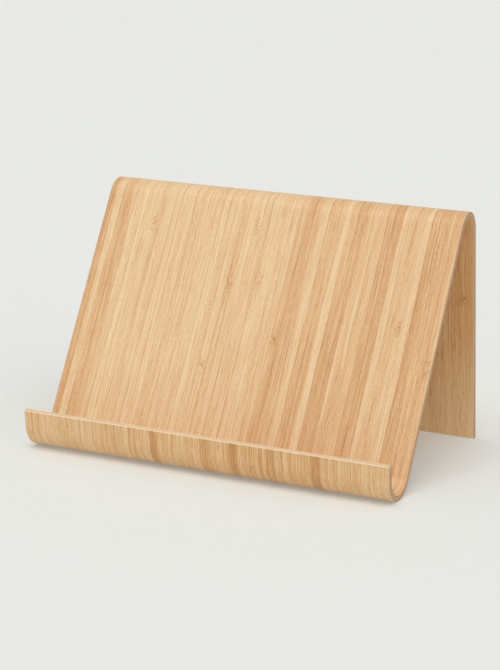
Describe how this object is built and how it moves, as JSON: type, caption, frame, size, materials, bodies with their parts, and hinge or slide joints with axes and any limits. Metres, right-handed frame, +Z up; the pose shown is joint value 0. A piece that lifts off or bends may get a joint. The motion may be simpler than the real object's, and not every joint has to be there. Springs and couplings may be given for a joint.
{
  "type": "phone and tablet stand",
  "caption": "Bent bamboo laminate stand: a leaning backrest with a curled front lip that holds a phone, tablet or book, and a rear leg folded back over the top.",
  "frame": {"origin": "on the floor at the middle of the footprint", "axes": "+X along the bends, -Y faces the user, +Z up"},
  "size_m": [0.26, 0.1709, 0.165],
  "materials": {
    "display_veneer": "bamboo strips under satin clear lacquer",
    "under_veneer": "bamboo strips under satin clear lacquer, a little darker",
    "cross_ply": "end grain of bamboo laid across, sealed edge",
    "core_ply": "long grain bamboo, sealed edge"
  },
  "bodies": {
    "root": {"display_strip_01": "display_veneer", "display_strip_02": "display_veneer", "display_strip_03": "display_veneer", "display_strip_04": "display_veneer", "display_strip_05": "display_veneer", "display_strip_06": "display_veneer", "display_strip_07": "display_veneer", "display_strip_08": "display_veneer", "display_strip_09": "display_veneer", "display_strip_10": "display_veneer", "display_strip_11": "display_veneer", "display_strip_12": "display_veneer", "display_strip_13": "display_veneer", "display_strip_14": "display_veneer", "display_strip_15": "display_veneer", "display_strip_16": "display_veneer", "display_strip_17": "display_veneer", "display_strip_18": "display_veneer", "display_strip_19": "display_veneer", "display_strip_20": "display_veneer", "display_strip_21": "display_veneer", "display_strip_22": "display_veneer", "display_strip_23": "display_veneer", "display_strip_24": "display_veneer", "display_strip_25": "display_veneer", "under_strip_01": "under_veneer", "under_strip_02": "under_veneer", "under_strip_03": "under_veneer", "under_strip_04": "under_veneer", "under_strip_05": "under_veneer", "under_strip_06": "under_veneer", "under_strip_07": "under_veneer", "under_strip_08": "under_veneer", "under_strip_09": "under_veneer", "under_strip_10": "under_veneer", "under_strip_11": "under_veneer", "under_strip_12": "under_veneer", "under_strip_13": "under_veneer", "under_strip_14": "under_veneer", "under_strip_15": "under_veneer", "under_strip_16": "under_veneer", "under_strip_17": "under_veneer", "under_strip_18": "under_veneer", "under_strip_19": "under_veneer", "under_strip_20": "under_veneer", "under_strip_21": "under_veneer", "under_strip_22": "under_veneer", "under_strip_23": "under_veneer", "under_strip_24": "under_veneer", "under_strip_25": "under_veneer", "front_cross_ply": "cross_ply", "core_ply": "core_ply", "rear_cross_ply": "cross_ply"}
  },
  "joints": []
}
